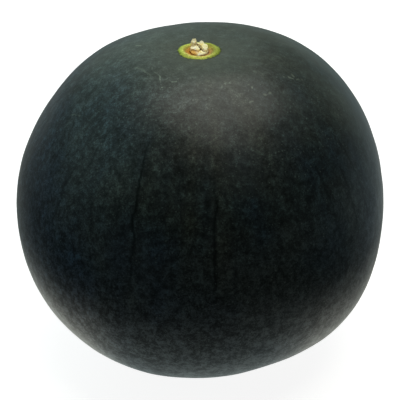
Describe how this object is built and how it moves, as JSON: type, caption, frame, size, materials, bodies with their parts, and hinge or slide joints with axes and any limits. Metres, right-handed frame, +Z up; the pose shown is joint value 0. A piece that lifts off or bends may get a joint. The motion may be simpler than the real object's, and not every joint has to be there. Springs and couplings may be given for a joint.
{
  "type": "watermelon",
  "caption": "Whole round watermelon with a near-black green rind, standing on its blossom end, with a corky stem scar and the torn stub of its stem on top.",
  "frame": {"origin": "on the surface the fruit rests on, under the middle of its box", "axes": "+Z up along the stem's axis, from the blossom end to the stem scar; -Y is the front"},
  "size_m": [0.2108, 0.2104, 0.1895],
  "materials": {
    "rind": "satin natural wax over near-black green skin",
    "cork": "dry, torn, matt"
  },
  "bodies": {
    "root": {"fruit": "rind", "stem_stub": "cork"}
  },
  "joints": []
}
